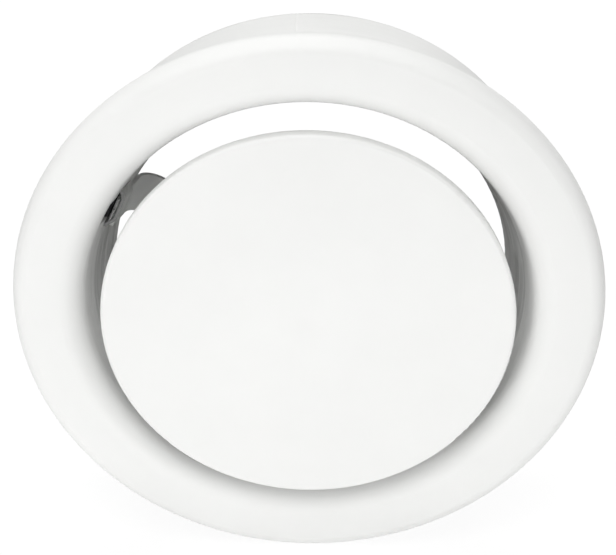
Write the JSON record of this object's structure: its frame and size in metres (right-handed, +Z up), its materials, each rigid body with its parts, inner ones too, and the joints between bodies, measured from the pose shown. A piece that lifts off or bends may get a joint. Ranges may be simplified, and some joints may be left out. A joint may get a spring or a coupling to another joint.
{
  "type": "disc valve vent cover",
  "caption": "Round white sheet-steel vent cover with a rolled ring, a tapering neck and a flat disc that screws in and out on a spindle to set the air flow.",
  "frame": {"origin": "on the valve's axis, in the wall plane at the back of the mounting flange", "axes": "+Y into the duct, -Y into the room, +Z up, as fixed on a wall"},
  "size_m": [0.198, 0.0716, 0.198],
  "materials": {
    "white_coat": "satin powder coat",
    "zinc_steel": "bright zinc plating",
    "spring_steel": "plain spring strip",
    "foam": "closed-cell foam"
  },
  "bodies": {
    "valve": {"mounting_frame": "white_coat", "ring_gasket": "foam", "valve_ring": "white_coat", "bridge": "white_coat", "bridge_nut": "zinc_steel", "lock_nut": "zinc_steel", "spring_clip_1": "spring_steel", "spring_clip_2": "spring_steel", "spring_clip_3": "spring_steel", "clip_rivet_1": "zinc_steel", "clip_rivet_2": "zinc_steel", "clip_rivet_3": "zinc_steel"},
    "spindle_stop": {"stop_ring": "zinc_steel"},
    "disc": {"disc": "white_coat", "spindle": "zinc_steel"}
  },
  "joints": [
    {"name": "disc_travel", "type": "slide", "parent": "valve", "child": "spindle_stop", "axis": [0, 1, 0], "range_m": [-0.0101, 0.01385]},
    {"name": "disc_turn", "type": "hinge", "parent": "spindle_stop", "child": "disc", "pos_m": [0, 0, 0], "axis": [0, 1, 0], "range_deg": [-2880, 3960]}
  ],
  "couplings": [
    {"joint": "disc_travel", "follows": "disc_turn", "m_per_rad": 0.00019894}
  ]
}
